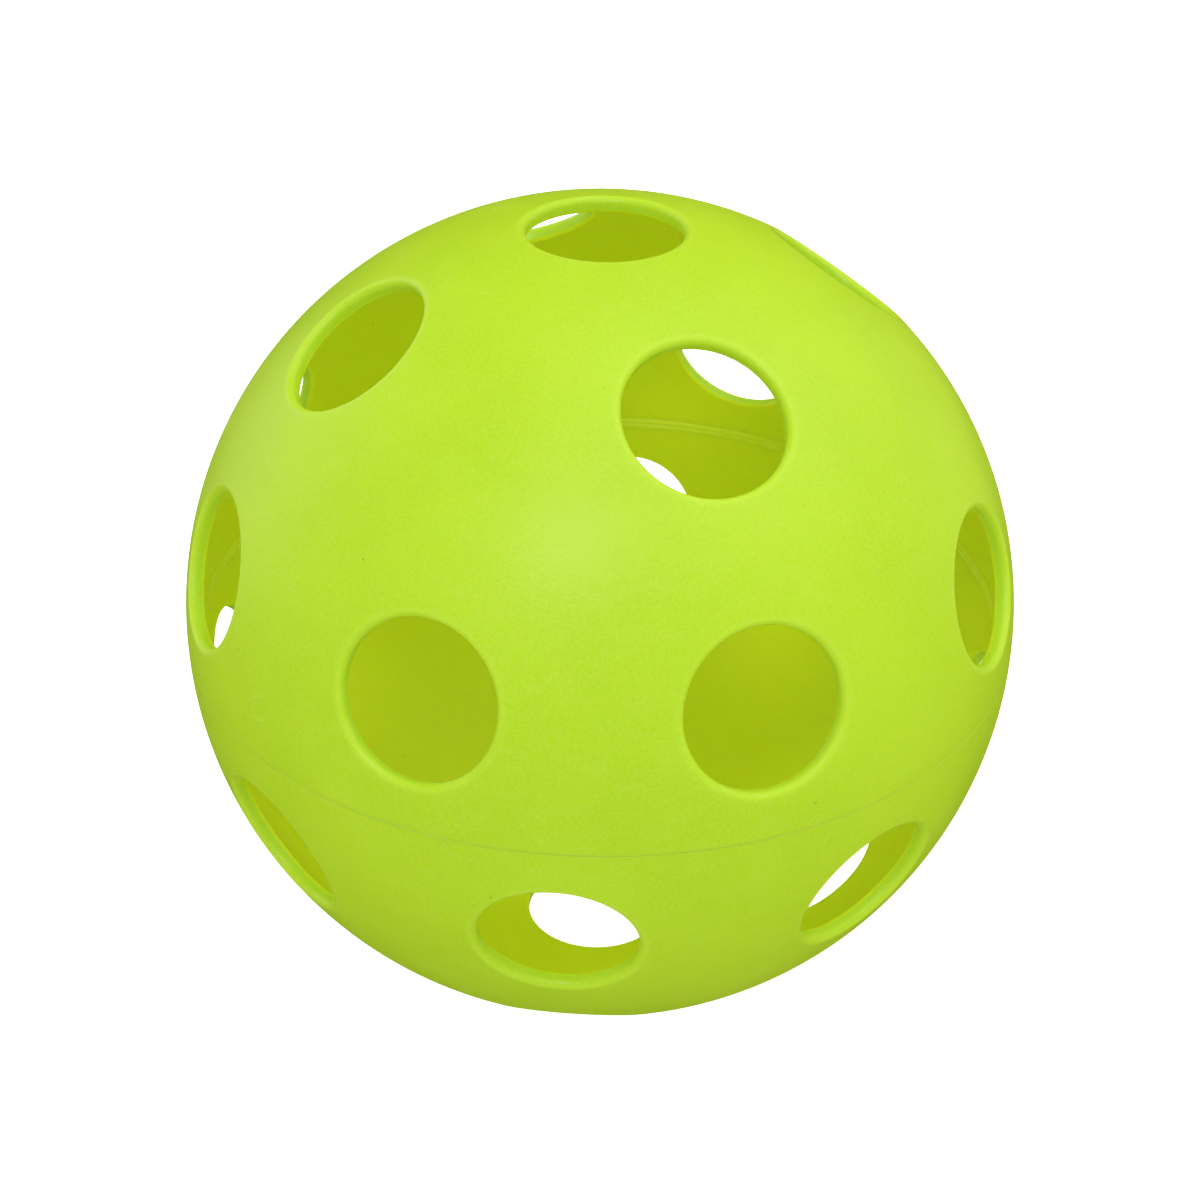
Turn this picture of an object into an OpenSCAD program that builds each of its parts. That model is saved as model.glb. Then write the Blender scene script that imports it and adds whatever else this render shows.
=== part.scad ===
/* [Ball] */
// Outside diameter of the ball
ball_d = 74; // [72:0.5:76]
// Thickness of the moulded wall
wall = 1.4; // [1.2:0.1:2.2]

/* [Holes] */
// Diameter of the straight part of every hole
hole_d = 13.2; // [11:0.2:14]
// Angle from the pole to the ring of four holes, in degrees
ring4_angle = 36.5; // [35:0.5:38]
// Angle from the pole to the ring of eight holes, in degrees
ring8_angle = 73; // [71:0.5:74]
// Radius on the outer edge of each hole
outer_edge_r = 0.5; // [0.3:0.1:0.6]
// Radius on the inner edge of each hole
inner_edge_r = 0.4; // [0.2:0.1:0.4]
// How far the lower half is turned against the upper half, in degrees
lower_turn = -26.5; // [-45:0.5:45]

/* [Weld] */
// Width of the bead that the weld leaves inside the ball
bead_w = 1.4; // [1:0.1:2]
// How far the bead stands in from the wall
bead_h = 0.4; // [0.3:0.05:0.6]

/* [Hidden] */
$fn = 120;

outer_r = ball_d / 2;
inner_r = outer_r - wall;
hole_r = hole_d / 2;
// Flats that stand for each rounded hole edge
outer_steps = 4;
inner_steps = 3;
// How far a hole cutter runs past the wall on each side
reach = 1.5;

// Centre of the outer edge's radius: it touches both the hole and the ball
outer_edge_x = hole_r + outer_edge_r;
outer_edge_y = sqrt(pow(outer_r - outer_edge_r, 2) - pow(outer_edge_x, 2));
outer_edge_end = atan2(outer_edge_y, outer_edge_x);

// Centre of the inner edge's radius: it touches both the hole and the hollow
inner_edge_x = hole_r + inner_edge_r;
inner_edge_y = sqrt(pow(inner_r + inner_edge_r, 2) - pow(inner_edge_x, 2));
inner_edge_end = 180 + atan2(inner_edge_y, inner_edge_x);

// The weld leaves two rolls of flash side by side: each is an arc from the wall to the valley between them
roll_steps = 6;
roll_z = bead_w / 5;
roll_half_w = bead_w / 2 - roll_z;
roll_r = (pow(bead_h, 2) + pow(roll_half_w, 2)) / (2 * bead_h);
bead_back_r = sqrt(pow(inner_r, 2) - pow(bead_w / 2, 2));
roll_path_r = bead_back_r - bead_h + roll_r;
roll_start = 180 + atan2(roll_half_w, roll_r - bead_h);
roll_valley = 180 - asin(roll_z / roll_r);

shell_colour = [0.74, 0.88, 0.25];
bead_colour = [0.68, 0.80, 0.18];

// A point on a circle about c, at angle a
function on_arc(c, r, a) = [c[0] + r * cos(a), c[1] + r * sin(a)];

// Points round an arc from angle a0 towards a1, leaving out the last
function arc_points(c, r, a0, a1, steps) =
    [for (i = [0:steps - 1]) on_arc(c, r, a0 + (a1 - a0) * i / steps)];

// The end of an arc's last flat, carried on straight by d
function past_end(c, r, a0, a1, steps, d) =
    let (p = on_arc(c, r, a1 - (a1 - a0) / steps))
    let (q = on_arc(c, r, a1))
    q + d * (q - p) / norm(q - p);

function reversed(list) = [for (i = [len(list) - 1:-1:0]) list[i]];

// Half section of what one hole takes away: straight in the middle, rounded at both mouths
module hole_section() {
    outer_c = [outer_edge_x, outer_edge_y];
    inner_c = [inner_edge_x, inner_edge_y];
    top = past_end(outer_c, outer_edge_r, 180, outer_edge_end, outer_steps, reach);
    low = past_end(inner_c, inner_edge_r, 180, inner_edge_end, inner_steps, reach);
    inner_arc = arc_points(inner_c, inner_edge_r, 180, inner_edge_end, inner_steps);
    outer_arc = arc_points(outer_c, outer_edge_r, 180, outer_edge_end, outer_steps);
    polygon(concat([[0, low[1]], low], reversed(inner_arc), outer_arc, [top, [0, outer_r + reach]]));
}

// One hole on the pole's axis, tipped down by angle and swung round by turn
module hole(angle, turn) {
    rotate([0, angle, turn]) rotate_extrude() hole_section();
}

// The thirteen holes of one half: the pole, a ring of four and a ring of eight
module half_holes() {
    hole(0, 0);
    for (i = [0:3]) hole(ring4_angle, 90 * i);
    for (i = [0:7]) hole(ring8_angle, 45 * i);
}

// One moulded half: a thin dome, open at the equator, with its holes
module half_shell() {
    difference() {
        sphere(outer_r);
        sphere(inner_r);
        translate([-ball_d, -ball_d, -2 * ball_d]) cube(2 * ball_d);
        half_holes();
    }
}

module upper_shell() {
    color(shell_colour) half_shell();
}

// The same moulding turned over, so its pole faces down
module lower_shell() {
    color(shell_colour) rotate([0, 0, lower_turn]) mirror([0, 0, 1]) half_shell();
}

// Section of the weld flash: one roll from each half, with a flat back against the wall
module bead_section() {
    roll_c = [roll_path_r, -roll_z];
    lower_roll = arc_points(roll_c, roll_r, roll_start, roll_valley, roll_steps);
    upper_roll = [for (p = reversed(lower_roll)) [p[0], -p[1]]];
    polygon(concat(lower_roll, [on_arc(roll_c, roll_r, roll_valley)], upper_roll));
}

// Flash squeezed inwards where the two halves were melted together
module weld_bead() {
    color(bead_colour) rotate_extrude() bead_section();
}

upper_shell();
lower_shell();
weld_bead();
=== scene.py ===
import math

import bmesh
import bpy
import numpy as np
from mathutils import Matrix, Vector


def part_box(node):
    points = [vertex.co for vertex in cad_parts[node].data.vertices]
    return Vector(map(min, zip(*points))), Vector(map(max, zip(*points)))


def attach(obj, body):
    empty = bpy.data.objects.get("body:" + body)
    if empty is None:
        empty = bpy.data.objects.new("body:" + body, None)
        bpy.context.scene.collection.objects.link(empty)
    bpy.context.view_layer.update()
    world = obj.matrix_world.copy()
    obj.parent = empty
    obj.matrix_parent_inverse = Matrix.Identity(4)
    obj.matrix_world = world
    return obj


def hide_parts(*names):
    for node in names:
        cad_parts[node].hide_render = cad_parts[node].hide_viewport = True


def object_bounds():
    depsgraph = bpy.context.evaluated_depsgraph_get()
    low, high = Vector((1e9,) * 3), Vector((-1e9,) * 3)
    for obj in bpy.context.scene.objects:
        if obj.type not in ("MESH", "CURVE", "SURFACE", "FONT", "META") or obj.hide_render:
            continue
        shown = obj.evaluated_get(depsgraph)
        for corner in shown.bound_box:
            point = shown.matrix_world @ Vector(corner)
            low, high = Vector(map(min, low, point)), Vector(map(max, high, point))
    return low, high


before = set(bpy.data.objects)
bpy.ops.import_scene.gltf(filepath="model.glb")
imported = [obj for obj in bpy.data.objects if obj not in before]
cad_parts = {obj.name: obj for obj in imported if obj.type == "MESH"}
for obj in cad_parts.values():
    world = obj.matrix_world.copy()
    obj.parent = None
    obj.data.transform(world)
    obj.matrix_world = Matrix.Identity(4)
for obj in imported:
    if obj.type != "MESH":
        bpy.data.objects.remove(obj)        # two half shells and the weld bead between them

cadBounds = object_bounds()
mm = 0.001
tiny = 1e-9              # lengths on the unit ball that count as nothing
sameCorner = 1e-6        # corners of a patch nearer than this are one corner
mergeWithin = 0.001 * mm
sharpAngle = 40          # degrees between faces, past which an edge isn't shaded smooth
print("frame loaded:", sorted(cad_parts))

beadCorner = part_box("weld_bead")[1]
outerRadius = cadBounds[1].y
innerRadius = math.hypot(beadCorner.x, beadCorner.z)
print("ball radius", round(outerRadius, 5), "inside", round(innerRadius, 5))

# the holes, the same in both halves
holes = {
    "radius": 6.6 * mm,          # straight part of a hole
    "outerEdge": 0.54 * mm,      # rounding where it meets the outside
    "innerEdge": 0.4 * mm,       # rounding where it meets the inside
    "rings": ((36.5, 4), (73.0, 8)),     # degrees from the pole, holes in the ring
    "lowerTurn": -26.5,          # degrees by which the lower half sits turned
}


class Wire:
    # a socket that can be added, multiplied and so on: each sum is one more Math node
    def __init__(self, tree, socket=None):
        self.tree = tree
        self.socket = socket

    def make(self, kind, settings=None, inputs=None, out=0):
        # one node of any type: its settings first, then a value or a link for each socket
        node = self.tree.nodes.new(kind)
        for name, value in (settings or {}).items():
            setattr(node, name, value)
        for name, value in (inputs or {}).items():
            if isinstance(value, Wire):
                self.tree.links.new(value.socket, node.inputs[name])
            else:
                node.inputs[name].default_value = value
        return Wire(self.tree, node.outputs[out] if node.outputs else None)

    def calc(self, operation, a, b=0.0):
        return self.make("ShaderNodeMath", {"operation": operation}, {0: a, 1: b})

    def __add__(self, other):
        return self.calc("ADD", self, other)

    def __sub__(self, other):
        return self.calc("SUBTRACT", self, other)

    def __rsub__(self, other):
        return self.calc("SUBTRACT", other, self)

    def __mul__(self, other):
        return self.calc("MULTIPLY", self, other)

    def __abs__(self):
        return self.calc("ABSOLUTE", self)

    __radd__ = __add__
    __rmul__ = __mul__

    def rise(self, low, high):
        # 0 at low, 1 at high, and a smooth step between
        values = {"Value": self, "From Min": low, "From Max": high}
        return self.make("ShaderNodeMapRange", {"interpolation_type": "SMOOTHSTEP"}, values)

    def blend(self, first, second):
        # the first colour where this is 0, the second where it is 1
        return self.make("ShaderNodeMix", {"data_type": "RGBA"}, {0: self, 6: first, 7: second}, out=2)

    def noise(self, size, detail=2.0):
        # cloudy values about 0.5, in lumps of this size
        return self.make("ShaderNodeTexNoise", None, {"Vector": self, "Scale": 1 / size, "Detail": detail})

    def stretch(self, x, y, z):
        # each direction multiplied by a number of its own
        return self.make("ShaderNodeVectorMath", {"operation": "MULTIPLY"}, {0: self, 1: (x, y, z)})

    def bump(self, height, normal=None):
        # relief of this many metres on top of another normal
        inputs = {"Height": self, "Distance": height}
        if normal:
            inputs["Normal"] = normal
        return self.make("ShaderNodeBump", None, inputs)


def newMaterial(name):
    material = bpy.data.materials.new(name)
    material.use_nodes = True
    material.node_tree.nodes.clear()
    return material, Wire(material.node_tree)


def unit(v):
    # each vector divided by its length
    return v / np.linalg.norm(v, axis=-1, keepdims=True)


def aim(polar, turn):
    # unit vectors tipped down from +Z by polar degrees and swung round it by turn degrees
    t = np.radians(np.asarray(turn, float))
    p = np.radians(polar) + 0 * t
    return np.stack([np.sin(p) * np.cos(t), np.sin(p) * np.sin(t), np.cos(p)], -1)


def across(centre):
    # two directions square to centre and to each other
    start = (1.0, 0.0, 0.0) if abs(centre[2]) > 0.9 else (0.0, 0.0, 1.0)
    east = unit(np.cross(start, centre))
    return east, np.cross(centre, east)


def ripple(angle, seed, waves):
    # smooth unevenness between -1 and 1 that closes on itself: a few sines of whole waves round the ball
    phase = np.random.default_rng(seed).uniform(0, 2 * np.pi, len(waves))
    total = sum(np.sin(w * angle + p) for w, p in zip(waves, phase))
    return total / len(waves)


def gridFaces(rows, columns, wrapRows=False):
    # quads between the points of a grid whose last column joins its first
    i = np.arange(rows if wrapRows else rows - 1)[:, None]
    j = np.arange(columns)[None, :]
    right = (j + 1) % columns
    below = (i + 1) % rows
    corners = [i * columns + j, i * columns + right, below * columns + right, below * columns + j]
    return np.stack(np.broadcast_arrays(*corners), -1).reshape(-1, 4)


def finishMesh(name, points, faces, lip=None):
    # puts arrays into a mesh, merges the points that patches share, and shades it smooth
    mesh = bpy.data.meshes.new(name)
    mesh.from_pydata(points.tolist(), [], faces.tolist())
    # the lip values are the share of painted highlight and lightening on the hole lips
    if lip is not None:
        mesh.attributes.new("lip", "FLOAT", "POINT").data.foreach_set("value", lip.astype(np.float32))
    work = bmesh.new()
    work.from_mesh(mesh)
    bmesh.ops.remove_doubles(work, verts=work.verts, dist=mergeWithin)
    openEdges = sum(1 for e in work.edges if len(e.link_faces) != 2)
    volume = work.calc_volume(signed=True) / mm ** 3
    work.to_mesh(mesh)
    work.free()
    mesh.polygons.foreach_set("use_smooth", np.ones(len(mesh.polygons), bool))
    mesh.set_sharp_from_angle(angle=math.radians(sharpAngle))
    piece = bpy.data.objects.new(name, mesh)
    bpy.context.scene.collection.objects.link(piece)
    print(name, "faces", len(mesh.polygons), "open edges", openEdges, "volume mm3", round(volume, 1))
    return piece


# One moulded half. Its surface is cut into a patch for each hole, and each patch into rows round its hole.
shell = {
    "step": 0.7 * mm,            # spacing of the points round a patch
    "nearEdge": (0, 0.03, 0.07, 0.12, 0.2, 0.35, 0.6),   # rows by the patch's edge, in millimetres from it
    "nearLip": (0.4, 0.22, 0.1, 0),                      # rows by the lip, in millimetres from it
    "openRows": 8,               # rows of the plain surface between those
    "lipRows": 8,                # rows of each rounded edge
    "wallRows": 2,
    "insideRows": 9,
    # painted light on each hole's lip, with a painted highlight where the rounding begins and lightening of
    # the rounding and wall against their darker shade: just outside the lip, where it begins, half round
    # it, down the wall, inside
    "paintedLipLight": (0, 1, 0.45, 0.45, 0),
    "seamWidth": 0.12 * mm,      # half the width of the trimmed weld line
    "seamDepth": 0.006 * mm,
    "seamUneven": 0.6,           # share of its depth that comes and goes
    "seamWaves": (3, 5, 8, 13, 21, 34),
    "seamSeed": 3,
}


def holeAims(side, turn):
    # the pole hole, then each ring in equal steps round it; side is 1 for the upper half, -1 for the lower
    aims = [aim(0, [0])]
    for polar, count in holes["rings"]:
        aims.append(aim(polar, turn + 360 / count * np.arange(count)))
    return np.concatenate(aims) * (1, 1, side)


def patchOutline(centre, others):
    # The part of the ball that lies nearer to one hole than to the others. Its corners are where two planes
    # of equal distance cross. Its sides are great arcs in equal steps, so neighbours share their points.
    planes = centre - others
    i, j = np.triu_indices(len(planes), 1)
    corners = np.cross(planes[i], planes[j])
    corners = unit(corners[np.linalg.norm(corners, axis=1) > tiny])
    corners = np.concatenate([corners, -corners])
    corners = corners[(corners @ planes.T > -tiny).all(1) & (corners @ centre > 0)]
    east, north = across(centre)
    corners = corners[np.argsort(np.arctan2(corners @ north, corners @ east))]
    corners = corners[np.linalg.norm(corners - np.roll(corners, 1, 0), axis=1) > sameCorner]
    sides = []
    for a, b in zip(corners, np.roll(corners, -1, 0)):
        arc = math.acos(a @ b)
        count = max(2, math.ceil(arc * outerRadius / shell["step"] - sameCorner))
        f = np.arange(count)[:, None] / count
        sides.append((np.sin((1 - f) * arc) * a + np.sin(f * arc) * b) / math.sin(arc))
    return np.concatenate(sides)


def steps(count):
    # equal steps up to 1, as a column
    return np.arange(1, count + 1)[:, None] / count


def arcRows(x, y, radius, start, end, count):
    # points round an arc about (x, y), leaving out its first
    turn = start + (end - start) * steps(count)
    return x + radius * np.cos(turn), y + radius * np.sin(turn)


def patchSheet(centre, outline):
    # One sheet over a patch: along the outside from the patch's edge to the hole, round the lip, through
    # the wall and back along the inside. A row is one place in that section, a column one direction from
    # the hole's axis. x is the distance from the axis, y the distance along it.
    beta = np.arccos(outline @ centre)
    spoke = unit(outline - np.cos(beta)[:, None] * centre)
    r, ro, ri = holes["radius"], holes["outerEdge"], holes["innerEdge"]
    lip = math.asin((r + ro) / (outerRadius - ro))
    root = math.asin((r + ri) / (innerRadius + ri))
    lipHeight = (outerRadius - ro) * math.cos(lip)
    rootHeight = (innerRadius + ri) * math.cos(root)

    edge = beta - np.array(shell["nearEdge"])[:, None] * mm / outerRadius
    rim = lip + np.array(shell["nearLip"])[:, None] * mm / outerRadius + 0 * beta
    outside = np.concatenate([edge, edge[-1] + (rim[0] - edge[-1]) * steps(shell["openRows"]), rim[1:]])
    inside = root + (beta - root) * steps(shell["insideRows"])
    lipX, lipY = arcRows(r + ro, lipHeight, ro, math.pi / 2 - lip, math.pi, shell["lipRows"])
    rootX, rootY = arcRows(r + ri, rootHeight, ri, math.pi, 1.5 * math.pi - root, shell["lipRows"])
    wallY = lipHeight + (rootHeight - lipHeight) * steps(shell["wallRows"])

    flat = 0 * beta
    x = np.concatenate([outerRadius * np.sin(outside), lipX + flat, r + 0 * wallY + flat, rootX + flat,
                        innerRadius * np.sin(inside)])
    y = np.concatenate([outerRadius * np.cos(outside), lipY + flat, wallY + flat, rootY + flat,
                        innerRadius * np.cos(inside)])
    points = y[..., None] * centre + x[..., None] * spoke

    # the trimmed weld leaves a shallow, uneven line round the outside
    top = points[:len(outside)]
    longitude = np.arctan2(top[..., 1], top[..., 0])
    line = np.clip(1 - np.abs(top[..., 2]) / shell["seamWidth"], 0, 1) ** 2
    uneven = 1 + shell["seamUneven"] * ripple(longitude, shell["seamSeed"], shell["seamWaves"])
    depth = shell["seamDepth"] * line * uneven
    top *= 1 - depth[..., None] / outerRadius

    # how much painted light each row gets: a painted highlight where the lip begins, lightening against
    # shade round the lip and down the wall, none inside
    halfLip = shell["lipRows"] // 2
    stops = np.cumsum([len(outside) - len(rim), len(rim) - 1, halfLip, halfLip + len(wallY), len(rootY)])
    row = np.arange(len(points))[:, None]
    lipLightShare = np.interp(row, stops, shell["paintedLipLight"]) + flat
    return points, lipLightShare


def halfShell(name, side, turn):
    # The patches of one half, joined. Mirror images of its last ring stand for the other half's holes, so
    # the patches end on the weld plane.
    centres = holeAims(side, turn)
    mirrored = centres[-holes["rings"][-1][1]:] * (1, 1, -1)
    everyone = np.concatenate([centres, mirrored])
    points, faces, marks, first = [], [], [], 0
    for k, centre in enumerate(centres):
        outline = patchOutline(centre, np.delete(everyone, k, 0))
        sheet, lipLightShare = patchSheet(centre, outline)
        rows, columns = sheet.shape[:2]
        faces.append(gridFaces(rows, columns) + first)
        # the flat edge that was melted on to the other half
        j = np.arange(columns)
        right = (j + 1) % columns
        onWeld = (np.abs(outline[j, 2]) < tiny) & (np.abs(outline[right, 2]) < tiny)
        a, b, last = j[onWeld], right[onWeld], (rows - 1) * columns
        faces.append(np.stack([b, a, last + a, last + b], -1) + first)
        points.append(sheet.reshape(-1, 3))
        marks.append(lipLightShare.reshape(-1))
        first += rows * columns
    return finishMesh(name, np.concatenate(points), np.concatenate(faces), np.concatenate(marks))


# The ring of flash that the weld leaves inside.
bead = {
    "height": 0.18 * mm,
    "halfWidth": beadCorner.z,
    "sunk": 0.03 * mm,           # how far its back lies in the wall
    "around": 720,               # points round the ball
    "over": 23,                  # points over the two rolls
    "backEvery": 4,              # the back has a point for every fourth of those
    "crest": 0.4,                # a roll's highest place, as a share of the half width
    "unevenHeight": 0.22,
    "unevenWidth": 0.08,
    "together": 4,               # a roll stops swelling over the middle 1/4 of the width
    "waves": (2, 7, 11, 19, 31, 47, 73),
    "wander": 0.05 * mm,
    "wanderWaves": (2, 3, 5),
    "seeds": (11, 12, 13),       # upper roll, lower roll, wander
}


def weldBead(name):
    # A ring swept round the ball. Its section is two rolls side by side, each the square of a cosine, so
    # they run out smoothly on the wall. They swell and wander a little on the way round.
    s = -np.cos(np.linspace(0, np.pi, bead["over"]))[:, None]
    turn = np.linspace(0, 2 * np.pi, bead["around"], endpoint=False)[None, :]
    roll = np.cos((np.abs(s) - bead["crest"]) / (1 - bead["crest"]) * np.pi / 2) ** 2
    swellUp = ripple(turn, bead["seeds"][0], bead["waves"])
    swellDown = ripple(turn, bead["seeds"][1], bead["waves"])
    swell = np.where(s > 0, swellUp, swellDown) * np.minimum(1, np.abs(s) * bead["together"])
    height = bead["height"] * roll * (1 - bead["unevenHeight"] * (1 - swell) / 2)
    z = bead["halfWidth"] * s * (1 - bead["unevenWidth"] * (1 - swell))
    z = z + bead["wander"] * ripple(turn, bead["seeds"][2], bead["wanderWaves"])
    front = np.sqrt(innerRadius ** 2 - z ** 2) - height
    backZ = z[::-1][1:-1:bead["backEvery"]]
    back = np.sqrt(innerRadius ** 2 - backZ ** 2) + bead["sunk"]
    z = np.concatenate([z, backZ])
    radius = np.concatenate([front, back])
    points = np.stack([radius * np.cos(turn), radius * np.sin(turn), z], -1)
    faces = gridFaces(*z.shape, wrapRows=True)[:, ::-1]      # turned round, so that they face outwards
    return finishMesh(name, points.reshape(-1, 3), faces)


plastic = {
    "colour": (0.52, 0.77, 0.011, 1),
    "deep": (0.485, 0.735, 0.007, 1),    # where the colour clouds
    "pale": (0.61, 0.825, 0.085, 1),     # where flow marks, scuffs and grain lighten it, and the painted highlight and lightening on the hole lips
    "litWeldLine": (0.585, 0.905, 0.035, 1),    # partly the faint pale trimmed line, partly painted light that makes up for the light inside the wall lost at the joint
    "inside": (0.81, 0.94, 0.014, 1),    # painted light: brighter and yellower, standing in for light that comes through the thin wall and bounces inside
    "speck": (0.22, 0.30, 0.03, 1),
    "roughness": 0.41,
    "gloss": 0.5,                # how strongly the surface mirrors
    "glow": 0.8,                 # share of the light that travels inside the wall
    "glowDepth": 0.5 * mm,
    "glowReach": (1.0, 0.75, 0.2),       # how far red, green and blue go
    "cloud": 14 * mm,            # this and the next ones are sizes of patterns, and heights of relief
    "flow": 3.5 * mm,
    "flowSqueeze": 2.5,          # makes the flow marks run round the ball
    "grain": 0.28 * mm,
    "grainHeight": 0.02 * mm,
    "peel": 2.2 * mm,
    "peelHeight": 0.012 * mm,
    "worn": 9 * mm,              # the few places that have scuffs
    "scuffs": {"Scale": 55.0, "Distortion": 14.0, "Detail": 3.0, "Detail Scale": 1.6},
    "specks": 0.42 * mm,
    "speckled": 17 * mm,         # the few places that have specks
}


def surfacePlastic():
    # satin moulded plastic: clouded colour, moulded grain, painted highlight and lightening on the hole
    # lips, a weld line and inside brightened with painted light, a few fine scuffs and specks
    material, start = newMaterial("satin moulded plastic")
    place = start.make("ShaderNodeTexCoord", out="Object")
    cloud = place.noise(plastic["cloud"], 3)
    flow = place.stretch(1, 1, plastic["flowSqueeze"]).noise(plastic["flow"], 4)
    grain = place.noise(plastic["grain"], 2)
    peel = place.noise(plastic["peel"], 2)
    fromCentre = place.make("ShaderNodeVectorMath", {"operation": "LENGTH"}, {0: place}, out="Value")
    onInside = 1 - fromCentre.rise(innerRadius + 0.02 * mm, innerRadius + 0.38 * mm)
    height = place.make("ShaderNodeSeparateXYZ", None, {0: place}, out="Z")
    nearWeld = 1 - abs(height).rise(0.04 * mm, 0.17 * mm)
    # painted highlight and lightening on the hole lips, carried by the lip attribute
    lip = start.make("ShaderNodeAttribute", {"attribute_name": "lip"}, out="Fac")

    # scuffs are thin wavering lines, the crests of a bent wave, and show only in worn places
    streak = start.make("ShaderNodeTexWave", None, {"Vector": place, **plastic["scuffs"]}, out="Fac")
    worn = place.noise(plastic["worn"], 2).rise(0.60, 0.70)
    scuff = streak.rise(0.985, 1.0) * worn
    speckled = place.noise(plastic["speckled"], 1).rise(0.55, 0.6)
    speck = place.noise(plastic["specks"], 0).rise(0.865, 0.89) * speckled

    shade = cloud.rise(0.3, 0.7).blend(plastic["deep"], plastic["colour"])
    # paler with flow marks, scuffs and grain, and on the hole lips with a painted highlight and lightening
    pale = 0.10 * flow.rise(0.45, 0.75) + 0.18 * lip + 0.3 * scuff + 0.9 * (grain - 0.35)
    shade = pale.blend(shade, plastic["pale"])
    # along the weld line: a faint pale line, brightened further with painted light against the light lost
    # at the joint
    shade = nearWeld.blend(shade, plastic["litWeldLine"])
    # painted light: the inside gets a brighter, yellower colour for the light that comes through the wall
    shade = onInside.blend(shade, plastic["inside"])
    shade = (0.6 * speck).blend(shade, plastic["speck"])
    rough = plastic["roughness"] + 0.10 * (cloud - 0.5) + 0.10 * (grain - 0.5) + 0.14 * scuff
    rough = rough + 0.06 * nearWeld - 0.05 * lip + 0.06 * onInside

    relief = (grain + 0.6 * scuff).bump(plastic["grainHeight"])
    relief = (peel + 0.5 * flow).bump(plastic["peelHeight"], relief)
    shader = start.make("ShaderNodeBsdfPrincipled", {"subsurface_method": "RANDOM_WALK"}, {
        "Base Color": shade,
        "Roughness": rough,
        "Normal": relief,
        "IOR": 1.5,
        "Specular IOR Level": plastic["gloss"],
        "Subsurface Weight": plastic["glow"],
        "Subsurface Radius": plastic["glowReach"],
        "Subsurface Scale": plastic["glowDepth"],
    })
    start.make("ShaderNodeOutputMaterial", None, {"Surface": shader})
    return material


weld = {
    # painted light: brighter and yellower like the inside, standing in for light that comes through the
    # thin wall
    "colour": (0.80, 0.935, 0.013, 1),
    "pale": (0.84, 0.95, 0.035, 1),
    "roughness": 0.42,
    "lump": 1.6 * mm,
    "lumpHeight": 0.02 * mm,
    "cloud": 5 * mm,
}


def weldPlastic():
    # the same plastic, melted and set again: lumpy, and paler on its lumps, in the inside colour brightened
    # with painted light
    material, start = newMaterial("melted weld plastic")
    place = start.make("ShaderNodeTexCoord", out="Object")
    lump = place.noise(weld["lump"], 3)
    cloud = place.noise(weld["cloud"], 2)
    shader = start.make("ShaderNodeBsdfPrincipled", None, {
        "Base Color": lump.rise(0.35, 0.75).blend(weld["colour"], weld["pale"]),
        "Roughness": weld["roughness"] + 0.2 * (cloud - 0.5),
        "Normal": lump.bump(weld["lumpHeight"]),
        "Specular IOR Level": plastic["gloss"],
    })
    start.make("ShaderNodeOutputMaterial", None, {"Surface": shader})
    return material


view = {
    "turn": -21.5,               # degrees round the ball, where 0 looks along +Y
    "height": 31.9,              # degrees above the horizon
    "roll": 0.8,                 # degrees
    "distance": 5.5,             # ball radii from the centre
    "lens": 67.2,                # millimetres, as is the sensor
    "sensor": 36,
    "nearest": 0.01,             # metres
    "rise": 0.002,               # share of the frame that the ball sits below its middle
}


def viewAxes():
    # right, up and back of the camera, as the columns of a matrix
    back = aim(90 - view["height"], view["turn"] - 90)
    right = unit(np.cross((0, 0, 1), back))
    up = np.cross(back, right)
    c, s = math.cos(math.radians(view["roll"])), math.sin(math.radians(view["roll"]))
    return np.stack([c * right + s * up, c * up - s * right, back], -1)


def makeCamera(axes):
    camera = bpy.data.objects.new("camera", bpy.data.cameras.new("camera"))
    bpy.context.scene.collection.objects.link(camera)
    camera.data.lens = view["lens"]
    camera.data.sensor_width = view["sensor"]
    camera.data.clip_start = view["nearest"]
    camera.data.shift_y = view["rise"]
    place = Matrix([list(row) for row in axes]).to_4x4()
    place.translation = axes[:, 2] * view["distance"] * outerRadius
    camera.matrix_world = place
    bpy.context.scene.camera = camera


# lengths in metres
studio = {
    "floorHalf": 3.0,
    "floorPoints": 81,           # along each side
    "floorFlat": 1.2,            # how far out from the ball the floor stays flat
    "floorSweep": 1.6,           # over what length it then turns up into a wall
    "wallHeight": 3.0,
    "floorColour": (0.90, 0.90, 0.895, 1),
    "floorRoughness": 0.75,
    "floorMottle": 4 * mm,
    "floorGloss": 0.1,
    "floorGlow": 0.92,           # the floor is lit from below, like a light table
    "air": 0.81,                 # plain light from all round
    # name: way to it from the ball as right, up and back of the camera; metres away, metres wide, watts
    "lamps": {
        "key": ((-0.14, 0.25, 0.96), 0.75, 0.14, 0.85),
        "soft": ((0.43, 0.73, 0.54), 1.20, 1.80, 5.4),
        "left sheen": ((-0.845, 0.45, -0.30), 1.20, 1.20, 2.4),
        "right sheen": ((0.85, 0.42, -0.32), 1.20, 1.20, 1.0),
    },
}


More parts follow.
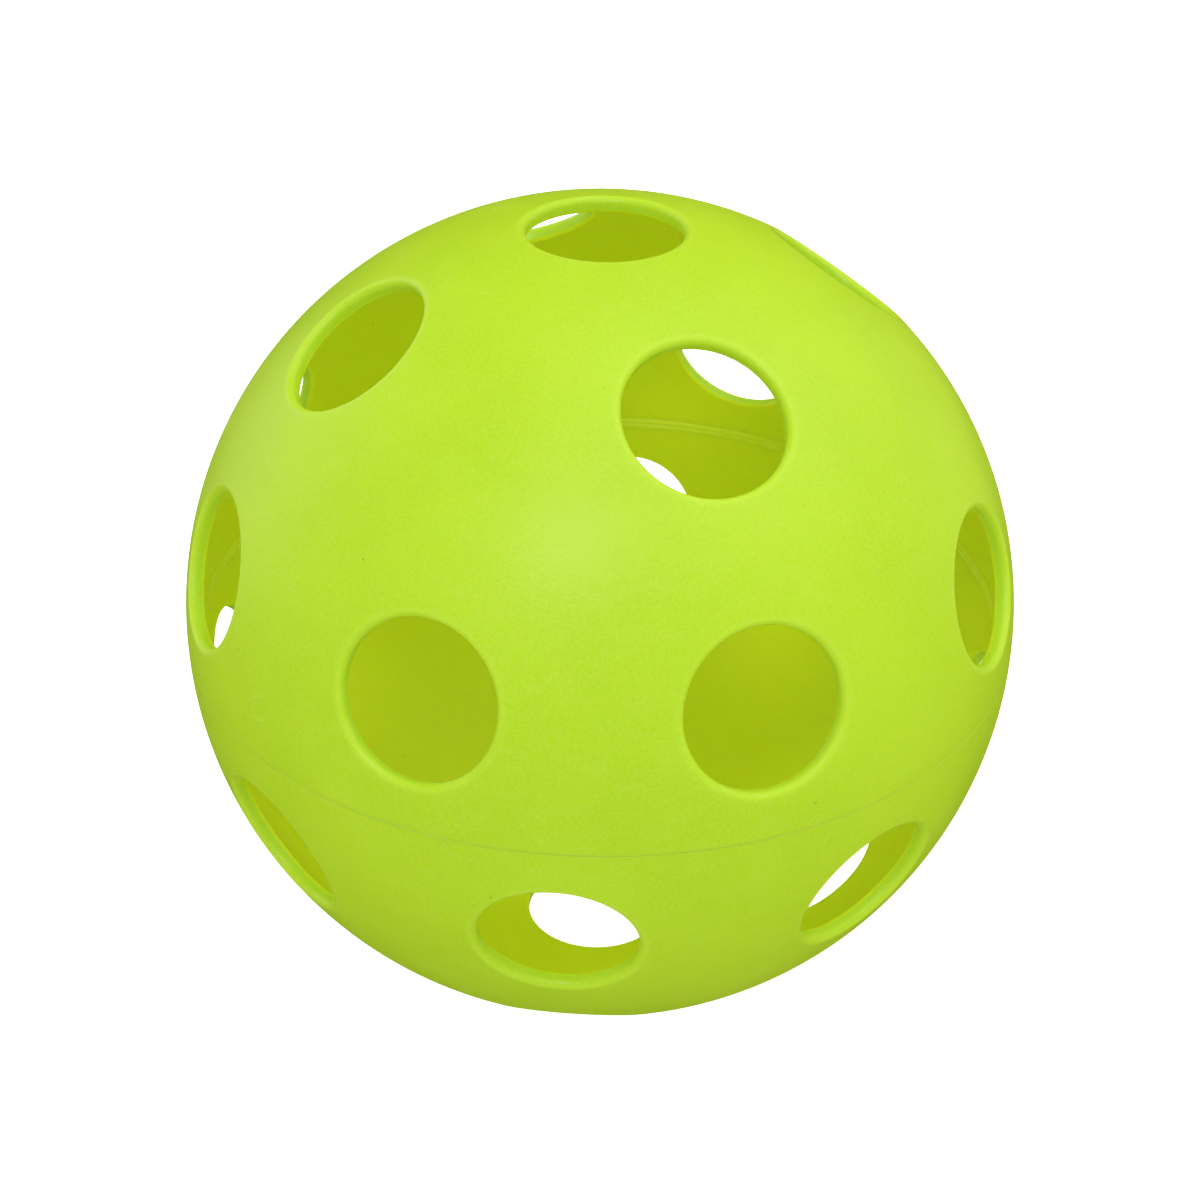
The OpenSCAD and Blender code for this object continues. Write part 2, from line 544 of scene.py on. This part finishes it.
def makeFloor():
    # A sheet that is flat under the ball and sweeps up into a wall all round: its height is a smooth step,
    # 3 s squared less 2 s cubed, of the distance from the ball. It shows, but it doesn't light the ball.
    count = studio["floorPoints"]
    n = np.linspace(-1, 1, count) * studio["floorHalf"]
    x, y = np.meshgrid(n, n)
    s = np.clip((np.hypot(x, y) - studio["floorFlat"]) / studio["floorSweep"], 0, 1)
    z = cadBounds[0].z + studio["wallHeight"] * (3 - 2 * s) * s ** 2
    i = np.arange(count - 1)
    corner = i[None, :] + count * i[:, None]
    faces = np.stack([corner, corner + 1, corner + count + 1, corner + count], -1).reshape(-1, 4)
    mesh = bpy.data.meshes.new("floor")
    mesh.from_pydata(np.stack([x, y, z], -1).reshape(-1, 3).tolist(), [], faces.tolist())
    floor = bpy.data.objects.new("floor", mesh)
    bpy.context.scene.collection.objects.link(floor)
    material, start = newMaterial("pale floor")
    place = start.make("ShaderNodeTexCoord", out="Object")
    shader = start.make("ShaderNodeBsdfPrincipled", None, {
        "Base Color": studio["floorColour"],
        "Roughness": studio["floorRoughness"] + 0.1 * (place.noise(studio["floorMottle"]) - 0.5),
        "Specular IOR Level": studio["floorGloss"],
        "Emission Color": (1, 1, 1, 1),
        "Emission Strength": studio["floorGlow"],
    })
    start.make("ShaderNodeOutputMaterial", None, {"Surface": shader})
    mesh.materials.append(material)
    floor.visible_glossy = False
    floor.visible_diffuse = False
    floor.visible_shadow = False


def makeLights(axes):
    # round area lamps that face the ball; the two sheen lamps only make reflections along its outline
    for name, (way, distance, size, power) in studio["lamps"].items():
        lamp = bpy.data.lights.new(name, "AREA")
        lamp.shape = "DISK"
        lamp.size = size
        lamp.energy = power
        toward = unit(axes @ np.array(way))
        right = unit(np.cross((0, 0, 1), toward))
        place = Matrix(np.stack([right, np.cross(toward, right), toward], -1).tolist()).to_4x4()
        place.translation = toward * distance
        light = bpy.data.objects.new(name, lamp)
        light.visible_diffuse = "sheen" not in name
        light.matrix_world = place
        bpy.context.scene.collection.objects.link(light)
    world = bpy.data.worlds.new("studio air")
    bpy.context.scene.world = world
    world.use_nodes = True
    world.node_tree.nodes["Background"].inputs["Color"].default_value = (1, 1, 1, 1)
    world.node_tree.nodes["Background"].inputs["Strength"].default_value = studio["air"]
    world.cycles_visibility.glossy = False
    bpy.context.scene.view_settings.view_transform = "Standard"


def assemble():
    skin, melt = surfacePlastic(), weldPlastic()
    plan = {
        "upper_shell": (halfShell("upper_half_shell", 1, 0.0), skin, "shell_plastic"),
        "lower_shell": (halfShell("lower_half_shell", -1, holes["lowerTurn"]), skin, "shell_plastic"),
        "weld_bead": (weldBead("inner_weld_bead"), melt, "weld_plastic"),
    }
    for node, (piece, material, slot) in plan.items():
        piece.data.materials.append(material)
        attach(piece, "root")
        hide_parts(node)
    print("ball assembled")


assemble()
axes = viewAxes()
makeCamera(axes)
makeFloor()
makeLights(axes)
print("camera, floor and lights ready")
